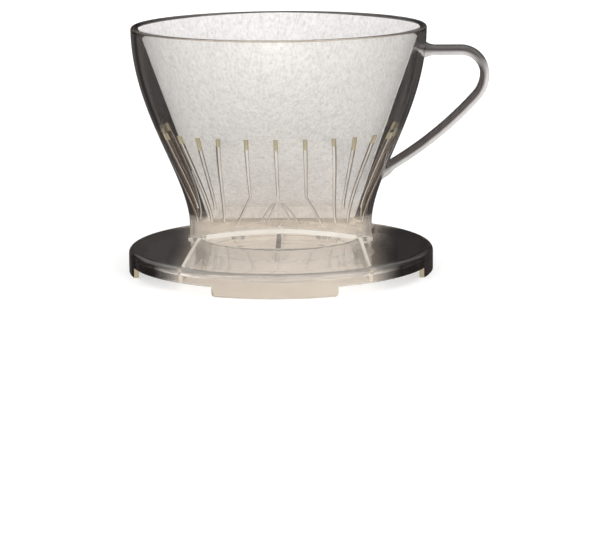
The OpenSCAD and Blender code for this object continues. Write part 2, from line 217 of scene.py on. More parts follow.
class Nodes:
    """A few short ways to add nodes to a tree. Patterns lie on one of its coordinates."""

    def __init__(self, tree, coordinates):
        self.nodes, self.links = tree.nodes, tree.links
        self.place = self.nodes.new("ShaderNodeTexCoord").outputs[coordinates]

    def feed(self, socket, value):
        """Links an output to a socket, or sets the socket to a plain value."""
        if isinstance(value, bpy.types.NodeSocket):
            self.links.new(value, socket)
        else:
            socket.default_value = value

    def noise(self, scale, detail=2, stretch=(1, 1, 1), lean=0.0):
        """Noise drawn out along an axis, which leans about Y by an angle in radians."""
        mapping = self.nodes.new("ShaderNodeMapping")
        self.feed(mapping.inputs["Vector"], self.place)
        self.feed(mapping.inputs["Scale"], stretch)
        self.feed(mapping.inputs["Rotation"], (0, lean, 0))
        noise = self.nodes.new("ShaderNodeTexNoise")
        self.feed(noise.inputs["Vector"], mapping.outputs[0])
        self.feed(noise.inputs["Scale"], scale)
        self.feed(noise.inputs["Detail"], detail)
        return noise.outputs["Fac"]

    def ramp(self, value, stops):
        ramp = self.nodes.new("ShaderNodeValToRGB")
        elements = ramp.color_ramp.elements
        while len(elements) < len(stops):
            elements.new(0.5)
        for element, (position, color) in zip(elements, stops):
            element.position = position
            element.color = (*color, 1)
        self.feed(ramp.inputs["Fac"], value)
        return ramp.outputs["Color"]

    def span(self, value, from_low, from_high, to_low, to_high):
        node = self.nodes.new("ShaderNodeMapRange")
        for name, number in zip(("From Min", "From Max", "To Min", "To Max"),
                                (from_low, from_high, to_low, to_high)):
            self.feed(node.inputs[name], number)
        self.feed(node.inputs["Value"], value)
        return node.outputs["Result"]

    def math(self, operation, a, b):
        node = self.nodes.new("ShaderNodeMath")
        node.operation = operation
        self.feed(node.inputs[0], a)
        self.feed(node.inputs[1], b)
        return node.outputs[0]

    def mix(self, factor, a, b, blend="MIX"):
        node = self.nodes.new("ShaderNodeMix")
        node.data_type = "RGBA"
        node.blend_type = blend
        for name, value in (("Factor", factor), ("A", a), ("B", b)):
            self.feed(node.inputs[name], value)
        return node.outputs["Result"]

    def parts(self):
        """The X, Y and Z of the coordinates."""
        node = self.nodes.new("ShaderNodeSeparateXYZ")
        self.feed(node.inputs[0], self.place)
        return node.outputs


class Shader(Nodes):
    """A material with a Principled shader, patterned on the object's own coordinates."""

    def __init__(self, name):
        self.material = bpy.data.materials.new(name)
        self.material.use_nodes = True
        super().__init__(self.material.node_tree, "Object")
        self.bsdf = self.nodes["Principled BSDF"]

    def set(self, **values):
        for name, value in values.items():
            self.bsdf.inputs[name.replace("_", " ")].default_value = value

    def plug(self, value, name):
        self.links.new(value, self.bsdf.inputs[name])

    def bump(self, value, depth):
        """Bump from a value between 0 and 1, with its depth in millimetres."""
        bump = self.nodes.new("ShaderNodeBump")
        self.feed(bump.inputs["Distance"], depth * MM)
        self.feed(bump.inputs["Height"], value)
        self.plug(bump.outputs["Normal"], "Normal")

    def clouded(self, cloud, light, dark):
        return self.ramp(cloud, [(NOISE_LOW, dark), (NOISE_HIGH, light)])

    def across(self, ease=0.0):
        """Distance from the middle plane in millimetres, less ease times that from the centre
        line along the windows."""
        parts = self.parts()
        x, y = [self.math("ABSOLUTE", parts[axis], 0.0) for axis in "XY"]
        return self.math("MULTIPLY", self.math("SUBTRACT", x, self.math("MULTIPLY", y, ease)),
                         1 / MM)

    def level(self):
        """Height above the standing plane in millimetres."""
        return self.math("MULTIPLY", self.parts()["Z"], 1 / MM)

    def towards(self, direction):
        """How far the surface turns towards a direction of the frame."""
        normal = self.nodes.new("ShaderNodeTexCoord").outputs["Normal"]
        turn = self.nodes.new("ShaderNodeVectorMath")
        turn.operation = "DOT_PRODUCT"
        self.feed(turn.inputs[0], normal)
        self.feed(turn.inputs[1], Vector(direction).normalized())
        return turn.outputs["Value"]


# Scales of the noises in the plastic and the paper, in features per metre
CLOUD_SCALE, HAZE_SCALE, WIPE_SCALE, WAVE_SCALE = 45, 220, 500, 140
FIBRE_SCALE, CLOT_SCALE = 1100, 260
# The wipe marks are drawn out upwards, and add this much to the ripple
WIPE_STRETCH = (1, 1, 0.08)
WIPE_SHARE = 0.12
# Haze times wipe marks fills this range
WEAR_LOW, WEAR_HIGH = 0.12, 0.5
# How far the cloud shifts the border of a painted shade, as a share of the border's width
SHADE_STRAY = 0.1


def clear_plastic(name, light, dark, transmission=1.0, polish=(0.015, 0.06), ripple=0.02,
                  shade=None):
    """Moulded plastic: cloudy tint, fine wipe marks and the slow ripple of its surface.
    polish is the range of its roughness, and ripple the depth of its waves in millimetres.
    shade gives painted light and shade: a function of the shader, its range, and the light and
    dark tints beyond it."""
    made = Shader(name)
    made.set(IOR=1.52, Transmission_Weight=transmission)
    cloud = made.noise(CLOUD_SCALE, detail=3)
    tint = made.clouded(cloud, light, dark)
    if shade:
        rule, start, end, far_light, far_dark = shade
        stray = SHADE_STRAY * abs(end - start)
        drift = made.math("ADD", rule(made),
                          made.span(cloud, NOISE_LOW, NOISE_HIGH, -stray, stray))
        tint = made.mix(made.span(drift, start, end, 0, 1), tint,
                        made.clouded(cloud, far_light, far_dark))
    made.plug(tint, "Base Color")
    haze = made.noise(HAZE_SCALE, detail=4)
    wipes = made.noise(WIPE_SCALE, stretch=WIPE_STRETCH)
    wear = made.math("MULTIPLY", haze, wipes)
    made.plug(made.span(wear, WEAR_LOW, WEAR_HIGH, *polish), "Roughness")
    waves = made.noise(WAVE_SCALE)
    made.bump(made.math("ADD", waves, made.math("MULTIPLY", wipes, WIPE_SHARE)), ripple)
    return made.material


def filter_paper():
    """Crepe filter paper: long pale fibres, small clots and a soft tooth."""
    made = Shader("filter_paper")
    made.set(Roughness=0.92, IOR=1.4, Specular_IOR_Level=0.25)
    fibres = made.noise(FIBRE_SCALE, detail=4, stretch=(1, 1, 0.45), lean=0.7)
    cross = made.noise(FIBRE_SCALE, detail=3, stretch=(0.4, 1, 1), lean=-0.5)
    clots = made.noise(CLOT_SCALE, detail=3)
    pulp = made.math("ADD", made.math("MULTIPLY", fibres, 0.5),
                     made.math("ADD", made.math("MULTIPLY", cross, 0.3),
                               made.math("MULTIPLY", clots, 0.2)))
    sheet = made.ramp(pulp, [(0.36, (0.69, 0.665, 0.65)), (0.5, (0.83, 0.815, 0.805)),
                             (0.62, (0.92, 0.91, 0.905))])
    # Darker at the foot: partly two sheets lying together, where less light comes through, and
    # partly painted shade
    doubled_and_shaded = made.span(made.level(), PAPER_POCKET - 1, PAPER_POCKET + 4, 1, 0)
    made.plug(made.mix(doubled_and_shaded, sheet, (0.80, 0.76, 0.72, 1), "MULTIPLY"), "Base Color")
    made.bump(pulp, 0.12)
    return made.material


def pale_floor(name, light, dark, shade_edge=None, glow=0.0):
    """A matt floor. Across a given edge band it turns to a painted dark shade, and it glows by
    itself.
    """
    made = Shader(name)
    grain = made.noise(60, detail=4)
    tint = made.clouded(grain, light, dark)
    if shade_edge:
        tint = made.mix(made.span(made.across(), *shade_edge, 0, 1), tint,
                        (0.035, 0.03, 0.03, 1))
    made.plug(tint, "Base Color")
    made.plug(made.span(grain, NOISE_LOW, NOISE_HIGH, 0.75, 0.85), "Roughness")
    made.set(Emission_Color=(1, 1, 1, 1), Emission_Strength=glow)
    return made.material


# The real moulding is one clear plastic. These tints imitate what the photograph shows of its
# surroundings and its refraction in each place.
# Most of these tints are painted light and shade, as marked at each.
CLEAR = clear_plastic("clear_plastic", (0.955, 0.945, 0.93), (0.94, 0.93, 0.915),
                      ripple=0.008)
# Painted light: a cream collar, lighter than the clear wall
COLLAR_LIGHT = clear_plastic("collar_painted_light", (0.95, 0.89, 0.81), (0.91, 0.85, 0.77),
                       transmission=0.84)
# Painted shade: a dark brown line below the rim's top
LIP_SHADE = clear_plastic("lip_painted_shade", (0.42, 0.35, 0.27), (0.32, 0.26, 0.20),
                            transmission=0.7)
# Painted light on the ribs' crests
RIB_CREST_LIGHT = clear_plastic("rib_plastic", (0.97, 0.94, 0.89), (0.93, 0.89, 0.83), transmission=0.45)
# Painted shade on the ribs' flanks and on one side face of each land
SIDE_SHADE = clear_plastic("side_painted_shade", (0.24, 0.18, 0.135), (0.18, 0.135, 0.10),
                         transmission=0.5)
# Painted highlight on the ribs' upper ends and on the tabs' ends
END_HIGHLIGHT = clear_plastic("end_painted_highlight", (0.60, 0.53, 0.36), (0.50, 0.44, 0.29),
                        transmission=0.3, polish=(0.08, 0.2))
WINDOW = clear_plastic("window_plastic", (0.93, 0.90, 0.86), (0.88, 0.85, 0.81),
                       transmission=0.92, ripple=0.05)
# Painted highlight on the front and back edges of the drip floor
FLOOR_HIGHLIGHT = clear_plastic("floor_edge_painted_highlight", (0.95, 0.91, 0.85), (0.86, 0.82, 0.75), transmission=0.3)
# Painted highlight on the lands and on the throats' noses
LAND_HIGHLIGHT = clear_plastic("land_painted_highlight", (0.93, 0.87, 0.77), (0.80, 0.74, 0.64),
                     transmission=0.25, polish=(0.06, 0.2))
# Painted shade: the wings darken away from the lands
WING_SHADE = clear_plastic("wing_plastic", (0.86, 0.82, 0.76), (0.80, 0.75, 0.70),
                     shade=(lambda made: made.across(LAND_LEAN), 32, 41,
                            (0.30, 0.28, 0.275), (0.24, 0.225, 0.22)))
# Painted shade: the flange's edge and skirt darken away from the middle plane
EDGE_SHADE = clear_plastic("edge_painted_shade", (0.86, 0.82, 0.76), (0.80, 0.75, 0.70), transmission=0.85,
                     shade=(lambda made: made.across(), 38, 48,
                            (0.07, 0.058, 0.052), (0.05, 0.042, 0.038)))
# Painted light and shade: the handle is pale where its surface turns down and outwards, and
# dark elsewhere
HANDLE_LIGHT_AND_SHADE = clear_plastic("handle_plastic", (0.11, 0.095, 0.09), (0.075, 0.065, 0.06),
                       transmission=0.35, polish=(0.03, 0.12), ripple=0.06,
                       shade=(lambda made: made.towards((0.5, 0, -0.87)), -0.1, 0.4,
                              (0.93, 0.90, 0.88), (0.70, 0.66, 0.64)))
PAPER = filter_paper()


# ---- Cone ---------------------------------------------------------------------------------

# Materials of the cone, and the numbers by which its faces name them; all but the clear one
# are painted light and shade
CONE_PAINTS = [CLEAR, RIB_CREST_LIGHT, END_HIGHLIGHT, SIDE_SHADE, COLLAR_LIGHT, LIP_SHADE]
CLEAR_PAINT, RIB_LIGHT_PAINT, RIB_HIGHLIGHT_PAINT, RIB_SHADE_PAINT, COLLAR_LIGHT_PAINT, LIP_SHADE_PAINT = range(6)

WALL = 2.0
LIP = WALL / 2
SIDE_EASE = 0.82
FACE_EASE = 1.6
FOOT_POWER = 2.6
RIM_POWER = 2.0
AROUND = 288

FLOOR_T = 2.0
FLOOR_SPAN = 30.0
FLOOR_RISE = 3.1
ARCH_R = (FLOOR_SPAN ** 2 + FLOOR_RISE ** 2) / (2 * FLOOR_RISE)
ARCH_Z = FLOOR_CROWN - FLOOR_T - ARCH_R


def cone_u(z):
    return max(0.0, min(1.0, (z - FOOT_Z) / (RIM_Z - FOOT_Z)))


def half_w(z):
    return FOOT_W + (RIM_W - FOOT_W) * (1 - math.cos(math.pi * cone_u(z) ** SIDE_EASE)) / 2


def half_d(z):
    return FOOT_D + (RIM_D - FOOT_D) * (1 - (1 - cone_u(z)) ** FACE_EASE)


def power(z):
    return FOOT_POWER + (RIM_POWER - FOOT_POWER) * cone_u(z)


def oval_point(a, b, n, degrees):
    """A point of an oval section; the angle counts from the front towards the handle."""
    s, c = math.sin(math.radians(degrees)), math.cos(math.radians(degrees))
    return (a * math.copysign(abs(s) ** (2 / n), s), -b * math.copysign(abs(c) ** (2 / n), c))


def oval(a, b, n, steps=AROUND):
    return [oval_point(a, b, n, 360 * i / steps) for i in range(steps)]


def arch(x, rise=0.0):
    """Height of the floor's underside at x; rise adds to its radius."""
    return ARCH_Z + math.sqrt((ARCH_R + rise) ** 2 - x ** 2)


def cone_ring(z, inset):
    return [(x, y, z) for x, y in oval(half_w(z) - inset, half_d(z) - inset, power(z))]


def collar_ring(share, inset):
    """A ring of the straight collar; share runs from the floor's top face up to the cone."""
    ring = []
    for x, y in oval(FOOT_W - inset, FOOT_D - inset, FOOT_POWER):
        base = arch(x, FLOOR_T) + GAP
        ring.append((x, y, base + (FOOT_Z - base) * share))
    return ring


def cone_shell():
    steps, lip_step = 56, 15
    # The collar's painted light runs on over two rows of the cone, and the painted shade of
    # the line below the rim's top takes three rows of the lip
    collar_run, lip_shade_rows = 2, 3
    lip_z = RIM_Z - LIP
    levels = [FOOT_Z + (lip_z - FOOT_Z) * k / steps for k in range(steps + 1)]
    shares = [0.0, 0.25, 0.5, 0.75]
    rows = [collar_ring(share, 0) for share in shares]
    rows += [cone_ring(z, 0) for z in levels]
    for a in range(lip_step, 180, lip_step):
        turn = math.radians(a)
        rows.append(cone_ring(lip_z + LIP * math.sin(turn), LIP - LIP * math.cos(turn)))
    rows += [cone_ring(z, WALL) for z in reversed(levels)]
    rows += [collar_ring(share, WALL) for share in reversed(shares)]
    collar = len(shares) + collar_run
    lip = len(shares) + steps

    def paint(k, i):
        if k < collar or k >= len(rows) - collar:
            return COLLAR_LIGHT_PAINT
        return LIP_SHADE_PAINT if lip < k <= lip + lip_shade_rows else CLEAR_PAINT

    return skin(rows, looped=True, paint=paint)


# ---- Ribs ---------------------------------------------------------------------------------

RIB_SINK = 0.3
RIB_H = 1.2
RIB_W_TOP = 1.9
RIB_W_FOOT = 1.2
# Angles of the ribs' tops and feet, from the one beside the middle rib to the last one
RIB_TOP_ANGLES = [11, 24.5, 36.5, 50, 65, 81]
RIB_FOOT_ANGLES = [24, 34, 40, 46, 61, 68]
FORK_FOOT_ANGLES = [4.5, 8.5]
# The ribs' tops carry a painted highlight over this length, and over less of it from the fifth
# rib beside the middle one outwards
RIB_HIGHLIGHT_LEN = 3.06
OUTER_HIGHLIGHT_LEN = RIB_HIGHLIGHT_LEN / 3
FIRST_OUTER = 4
# A rib has this share of its height at its foot, and all of it RIB_EASE further up or less
FOOT_SHARE = 0.25
RIB_EASE = 2.2
RIB_FOOT_LONG = PLATE_TOP + 10.8
RIB_FOOT_SHORT = PLATE_TOP + 17
FORK_Z = PLATE_TOP + 20.5
FORK_W = 0.8
FORK_H = 0.7
FORK_TOP_SHARE = 0.16
MIDDLE_FOOT = FORK_Z + 1
BEND_Z = PLATE_TOP + 23
BEND_ANGLE = 12.5
OUTLET_RIB_FOOT = PLATE_TOP + 9.2
# Section of a rib: share of the half width, share of the height
RIB_SECTION = [(-1, 0), (-0.9, 0.5), (-0.58, 0.9), (-0.3, 1),
               (0.3, 1), (0.58, 0.9), (0.9, 0.5), (1, 0)]


def wall_point(degrees, z):
    x, y = oval_point(half_w(z) - WALL, half_d(z) - WALL, power(z), degrees)
    return Vector((x, y, z))


def rib_row(degrees, z, width, height):
    on_wall = wall_point(degrees, z)
    along = (wall_point(degrees + 1, z) - wall_point(degrees - 1, z)).normalized()
    inward = Vector((-along.y, along.x, 0))
    row = []
    for across, up in RIB_SECTION:
        lift = -RIB_SINK + (height + RIB_SINK) * up if up else -RIB_SINK
        row.append(tuple(on_wall + along * across * width / 2 + inward * lift))
    return row


def rib(stations, height=RIB_H, glow=RIB_HIGHLIGHT_LEN):
    """A bar on the inside of the wall through stations of angle, level and width, top first.
    It carries a painted highlight over the given length at its top; below that its flanks
    carry painted shade and its crest painted light."""
    rows, levels = [], []
    steps = 12
    foot = stations[-1][1]
    for (a0, z0, w0), (a1, z1, w1) in zip(stations, stations[1:]):
        for k in range(0 if not rows else 1, steps + 1):
            s = k / steps
            z = z0 + (z1 - z0) * s
            tall = height * min(1.0, FOOT_SHARE + (1 - FOOT_SHARE) * (z - foot) / RIB_EASE)
            rows.append(rib_row(a0 + (a1 - a0) * s, z, w0 + (w1 - w0) * s, tall))
            levels.append(z)
    top = levels[0]
    shaded_flanks = (0, 1, len(RIB_SECTION) - 3, len(RIB_SECTION) - 2)

    def paint(k, i):
        if top - levels[k] < glow:
            return RIB_HIGHLIGHT_PAINT
        return RIB_SHADE_PAINT if i in shaded_flanks else RIB_LIGHT_PAINT

    return skin(rows, material=RIB_HIGHLIGHT_PAINT if glow else RIB_LIGHT_PAINT, paint=paint)


def top_station(turn):
    return (turn, RIB_TOP, RIB_W_TOP)


def rib_set(turn):
    made = [rib([top_station(turn), (turn, MIDDLE_FOOT, RIB_W_FOOT)])]
    for side in (-1, 1):
        made.append(rib([top_station(turn + side * RIB_TOP_ANGLES[0]),
                         (turn + side * BEND_ANGLE, BEND_Z, RIB_W_FOOT),
                         (turn + side * RIB_FOOT_ANGLES[0], OUTLET_RIB_FOOT, RIB_W_FOOT)]))
        for i in range(1, len(RIB_TOP_ANGLES)):
            foot = RIB_FOOT_SHORT if i % 2 == 0 else RIB_FOOT_LONG
            made.append(rib([top_station(turn + side * RIB_TOP_ANGLES[i]),
                             (turn + side * RIB_FOOT_ANGLES[i], foot, RIB_W_FOOT)],
                            glow=RIB_HIGHLIGHT_LEN if i < FIRST_OUTER else OUTER_HIGHLIGHT_LEN))
        for foot_angle in FORK_FOOT_ANGLES:
            made.append(rib([(turn + side * foot_angle * FORK_TOP_SHARE, FORK_Z, FORK_W),
                             (turn + side * foot_angle, RIB_FOOT_LONG, FORK_W)],
                            FORK_H, glow=0))
    return made


def ribbed_cone():
    made = piece("ribbed_cone", cone_shell(), CONE_PAINTS)
    combine(made, joined(rib_set(0) + rib_set(180)), CONE_PAINTS)
    smooth(made)
    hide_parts("cone_wall", "rim_bead", "base_collar", "front_ribs", "rear_ribs",
                "front_fork", "rear_fork")
    return made


# ---- Drip floor ---------------------------------------------------------------------------

# The second of these is a painted highlight
FLOOR_PAINTS = [WINDOW, FLOOR_HIGHLIGHT]
PANE_PAINT, FLOOR_HIGHLIGHT_PAINT = range(2)


def floor_plate():
    """The arched plate, with softened edges. Its front and back edges carry a painted
    highlight.
    """
    edge = 0.35
    around = AROUND // 2
    a, b = FOOT_W + FLOOR_LIP, FOOT_D + FLOOR_LIP

    def ring(inset, rule):
        return [(x, y, rule(x)) for x, y in oval(a - inset, b - inset, FOOT_POWER, around)]

    def inner(share, rule):
        return [(x, y, rule(x)) for x, y in oval(a * share, b * share, FOOT_POWER, around)]

    def top(x):
        return arch(x, FLOOR_T)

    shares = [0.93, 0.8, 0.65, 0.5, 0.35, 0.2, 0.08]
    rows = [[(0, 0, arch(0))]]
    rows += [inner(share, arch) for share in reversed(shares)]
    rows += [ring(edge, arch), ring(0, lambda x: arch(x) + edge),
             ring(0, lambda x: top(x) - edge), ring(edge, top)]
    rows += [inner(share, top) for share in shares]
    rows += [[(0, 0, top(0))]]
    rim, rim_rows = 1 + len(shares), 3

    def paint(k, i):
        lit = rim <= k < rim + rim_rows and abs(rows[k][i][0]) < FLOOR_SPAN
        return FLOOR_HIGHLIGHT_PAINT if lit else PANE_PAINT

    return skin(rows, caps=False, paint=paint)


def floor_foot():
    """End of the foot below the arch; it stands on the wing."""
    plan = [p for p in oval(FOOT_W, FOOT_D, FOOT_POWER) if p[0] > FLOOR_SPAN]
    plan.sort(key=lambda p: p[1])
    return slab(plan, PLATE_TOP + GAP, lambda x, y: arch(x) + FLOOR_T / 2)


def outlet_spout(side):
    tip_r, tip_tall, root_r, fillet = 2.9, 1.8, 3.7, 0.4
    tip_top = OUTLET_LOW + tip_tall
    inner = 0.6
    profile = [(inner, OUTLET_LOW), (tip_r - fillet, OUTLET_LOW),
               (tip_r, OUTLET_LOW + fillet), (tip_r, tip_top - fillet),
               (tip_r + fillet / 2, tip_top), (root_r - fillet / 2, tip_top),
               (root_r, tip_top + fillet / 2), (root_r, arch(OUTLET_X) + FLOOR_T / 2),
               (inner, arch(OUTLET_X) + FLOOR_T / 2)]
    return turned(profile, (side * OUTLET_X, 0), 64)


def centre_web():
    half_t, shoulder_drop, crown_lip = 1.0, 4.2, 2
    reach = THROAT_R - THROAT_T - GAP
    shoulder = high("centre_web", "z") - shoulder_drop
    crown_y = FOOT_D + crown_lip
    inside_y = FOOT_D
    outline = [(-reach, PLATE_LOW), (reach, PLATE_LOW), (reach, shoulder),
               (crown_y, arch(0)), (inside_y, arch(0)), (inside_y, arch(0) + FLOOR_T / 2),
               (-inside_y, arch(0) + FLOOR_T / 2), (-inside_y, arch(0)),
               (-crown_y, arch(0)), (-reach, shoulder)]
    return skin([[(x, y, z) for y, z in outline] for x in (-half_t, half_t)])


def floor_crest():
    """Low ridge across the middle of the floor, clear of the collar's wall."""
    half, crown, tall, sink, clearance = 1.2, 0.3, 1.1, 0.3, 0.5
    reach = FOOT_D - WALL - clearance
    outline = [(-half, -sink), (half, -sink), (half, 0), (crown, tall), (-crown, tall),
               (-half, 0)]
    return skin([[(x, y, FLOOR_CROWN + z) for x, z in outline] for y in (-reach, reach)])


def drip_floor():
    made = piece("drip_floor_plate", floor_plate(), FLOOR_PAINTS)
    for solid in (floor_foot(), mirrored(floor_foot(), x=-1), outlet_spout(1),
                  outlet_spout(-1), centre_web(), floor_crest()):
        combine(made, solid, FLOOR_PAINTS)
    bore, beyond = 1.4, 2
    for side in (-1, 1):
        cut = pin(bore, OUTLET_LOW - beyond, FLOOR_CROWN + beyond, (side * OUTLET_X, 0))
        combine(made, cut, FLOOR_PAINTS, "DIFFERENCE")
    smooth(made)
    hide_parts("drip_floor", "floor_crest", "left_collar_foot", "right_collar_foot",
                "left_outlet", "right_outlet", "centre_web")
    return made


# ---- Windows and lands --------------------------------------------------------------------

EDGE_R = 4.0
PLATE_R = FLANGE_R - EDGE_R
SKIRT_IN = FLANGE_R - 1.8
WINDOW_T = 1.8
WINDOW_TOP = high("front_throat", "z")
LAND_T = 1.6
LAND_X = 30.7
LAND_START = 10.0

# Materials of the flange, and the numbers by which its faces name them; all but the window's
# are painted light and shade
FLANGE_PAINTS = [EDGE_SHADE, END_HIGHLIGHT, WING_SHADE, WINDOW, LAND_HIGHLIGHT, SIDE_SHADE]
EDGE_SHADE_PAINT, END_HIGHLIGHT_PAINT, WING_SHADE_PAINT, WINDOW_PAINT, LAND_HIGHLIGHT_PAINT, LAND_SHADE_PAINT = range(6)


def reach_along(r, offset):
    """How far along Y a circle meets the line beside a window, moved out by offset."""
    c = LAND_X + offset
    m = LAND_LEAN
    return (math.sqrt(r * r * (1 + m * m) - c * c) - c * m) / (1 + m * m)


def window_pane():
    """The front window's sloping pane with the throat's lip, between the two lands."""
    nose = 0.4
    throat_in = THROAT_R - THROAT_T
    profile = [(throat_in, PLATE_LOW - LAP), (THROAT_R, PLATE_LOW - LAP),
               (THROAT_R, WINDOW_TOP - WINDOW_T)]
    rise, under = WINDOW_TOP - PLATE_TOP, WINDOW_TOP - WINDOW_T - PLATE_LOW
    run = PLATE_R + LAP - THROAT_R
    steps = 6
    for k in range(1, steps + 1):
        s = k / steps
        profile.append((THROAT_R + run * s, PLATE_LOW + under * (1 - s)))
    for k in range(steps, 0, -1):
        s = k / steps
        profile.append((THROAT_R + run * s, PLATE_TOP + rise * (1 - s)))
    profile += [(THROAT_R, WINDOW_TOP), (throat_in + nose, WINDOW_TOP),
                (throat_in, WINDOW_TOP - nose)]
    # The pane stops this far from the middle plane on its inner side
    clear_y = 7.8
    rows = []
    slices = 64
    for k in range(slices + 1):
        share = 2 * k / slices - 1
        row = []
        for r, z in profile:
            y = max(clear_y, reach_along(r, -LAND_T / 4))
            half = math.acos(y / r)
            row.append((r * math.sin(share * half), -r * math.cos(share * half), z))
        rows.append(row)
    # The throat's nose carries the lands' painted highlight
    crown = (len(profile) - 3, len(profile) - 2)
    return skin(rows, material=WINDOW_PAINT,
                paint=lambda k, i: LAND_HIGHLIGHT_PAINT if i in crown else WINDOW_PAINT)


def land(side):
    """Upright wall beside the front window; side is -1 or 1. Of its side faces along the
    window, one is clear and one carries painted shade; its crown and foot carry a painted
    highlight."""
    far = reach_along(SKIRT_IN + LAP, LAND_T / 2)
    plate_far = reach_along(PLATE_R + LAP, LAND_T / 2)
    slope = (WINDOW_TOP - PLATE_TOP) / (PLATE_R - THROAT_R)
    crown, edge, sunk, step = 0.35, 0.3, 0.1, 0.01
    half = LAND_T / 2
    rows = []

    def add(y, top):
        x = LAND_X + LAND_LEAN * y
        section = [(-half, REST_Z + edge), (-half, top - edge), (-half + edge, top),
                   (half - edge, top), (half, top - edge), (half, REST_Z + edge),
                   (half - edge, REST_Z), (-half + edge, REST_Z)]
        rows.append([(side * (x + dx), -y, z) for dx, z in section])

    steps = 10
    for k in range(steps + 1):
        y = LAND_START + (plate_far - LAND_START) * k / steps
        r = math.hypot(LAND_X + LAND_LEAN * y, y)
        rise = max(0, WINDOW_TOP - PLATE_TOP - slope * (r - THROAT_R))
        add(y, PLATE_TOP + rise + crown * (1 - k / steps))
    add(plate_far + step, PLATE_LOW - sunk)
    add(far, PLATE_LOW - sunk)
    sides = {0: LAND_SHADE_PAINT, 4: WINDOW_PAINT}
    return skin(rows, material=LAND_HIGHLIGHT_PAINT, paint=lambda k, i: sides.get(i, LAND_HIGHLIGHT_PAINT))


# ---- Wings, edge and ring -----------------------------------------------------------------

def wing(side):
    """Flat plate from the lands of both windows out to the flange's edge, in painted shade
    that darkens away from the lands.
    """
    far = reach_along(PLATE_R + LAP, LAND_T / 2 - LAP)
    rows_y, columns = 64, 16
    lower, upper = [], []
    for k in range(rows_y + 1):
        y = far * math.sin(math.pi / 2 * (2 * k / rows_y - 1))
        start = LAND_X + LAND_T / 2 - LAP + LAND_LEAN * abs(y)
        end = math.sqrt(max(0, (PLATE_R + LAP) ** 2 - y * y))
        xs = [start + (max(end, start) - start) * c / columns for c in range(columns + 1)]
        lower.append([(side * x, y, PLATE_LOW) for x in xs])
        upper.append([(side * x, y, PLATE_TOP) for x in xs])
    points, faces, numbers = [], [], []
    for rows in (lower, upper):
        table = []
        for row in rows:
            table.append(list(range(len(points), len(points) + len(row))))
            points += row
        numbers.append(table)
        for first, second in zip(table, table[1:]):
            faces += strip(first, second, False, WING_SHADE_PAINT)
    down, up = numbers
    for end in (0, -1):
        faces += strip(down[end], up[end], False, WING_SHADE_PAINT)
        faces += strip([row[end] for row in down], [row[end] for row in up], False, WING_SHADE_PAINT)
    return points, faces


def edge_ring():
    """The flange's rounded edge with the skirt below it, in painted shade that darkens away
    from the middle plane.
    """
    round_r, chamfer, soft = 2.0, 0.8, 0.35
    profile = [(PLATE_R, PLATE_LOW), (PLATE_R, PLATE_TOP)]
    for a in range(90, -1, -10):
        turn = math.radians(a)
        profile.append((FLANGE_R - round_r + round_r * math.cos(turn),
                        PLATE_TOP - round_r + round_r * math.sin(turn)))
    profile += [(FLANGE_R, REST_Z + soft), (FLANGE_R - soft, REST_Z),
                (SKIRT_IN + soft, REST_Z), (SKIRT_IN, REST_Z + soft),
                (SKIRT_IN, PLATE_LOW - chamfer), (SKIRT_IN - chamfer, PLATE_LOW)]
    return turned(profile, steps=288)


def tab(turn, half_chord):
    """A piece of the skirt that reaches down to the standing plane."""
    corner, soft, root = 1.3, 0.3, 1
    levels = [0, soft, corner * 0.6, corner, REST_Z, REST_Z + root]
    across = 40
    rows = []
    for k in range(across + 1):
        share = 2 * k / across - 1
        row = []
        for r, order in ((FLANGE_R, levels), (SKIRT_IN, reversed(levels))):
            for z in order:
                cut = corner - math.sqrt(max(0, corner ** 2 - max(0, corner - z) ** 2))
                inset = soft if z == 0 else 0
                radius = r - inset if r == FLANGE_R else r + inset
                angle = turn + math.asin((half_chord - cut) * share / radius)
                row.append((radius * math.sin(angle), -radius * math.cos(angle), z))
        rows.append(row)
    # The two ends are the only faces with more than four corners; they carry a painted
    # highlight
    points, faces = skin(rows, material=EDGE_SHADE_PAINT)
    return points, [(face, END_HIGHLIGHT_PAINT if len(face) > 4 else paint) for face, paint in faces]


def cup_ring():
    """Ring that centres the dripper in the cup, with its thicker root."""
    inner, soft = RING_R - THROAT_T, 0.35
    profile = [(inner, soft), (inner + soft, 0), (RING_R - soft, 0), (RING_R, soft),
               (RING_R, REST_Z), (THROAT_R - soft, REST_Z), (THROAT_R, REST_Z + soft),
               (THROAT_R, PLATE_LOW), (inner, PLATE_LOW)]
    return turned(profile, material=WINDOW_PAINT)


def flange():
    front, beside = high("front_tab", "x"), high("right_tab", "y")
    made = piece("flange", edge_ring(), FLANGE_PAINTS)
    solids = [tab(0, front), tab(math.pi, front),
              tab(math.pi / 2, beside), tab(-math.pi / 2, beside),
              wing(1), wing(-1), cup_ring()]
    for turn in (1, -1):
        solids.append(mirrored(window_pane(), y=turn))
        solids += [mirrored(land(side), y=turn) for side in (-1, 1)]
    for solid in solids:
        combine(made, solid, FLANGE_PAINTS)
    smooth(made)
    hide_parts("rim_skirt", "front_tab", "rear_tab", "left_tab", "right_tab",
                "left_wing", "right_wing", "ring_collar", "locating_ring",
                "front_window", "rear_window", "front_throat", "rear_throat",
                "front_left_land", "front_right_land", "rear_left_land", "rear_right_land")
    return made


# ---- Handle -------------------------------------------------------------------------------

BAR_T = high("handle_upper_bar", "z") - low("handle_upper_bar", "z")
BAR_D = high("handle_upper_bar", "y") - low("handle_upper_bar", "y")
# The bar runs out, round a tight bend, down a wide one and in along a long shallow one, with
# the turns in degrees
TIGHT_R = 9.5
WIDE_R = 13.0
LONG_R = 146.0
WIDE_TURN = 42
LONG_TURN = 17
# The bar spreads towards its roots, over this length, by this much on each side
ROOT_LEN = 3.4
ROOT_SPREAD = 1.1
ROOT_EASE = 1.6
# Step by which its ends look for the cone's wall
FIND_STEP = 0.02


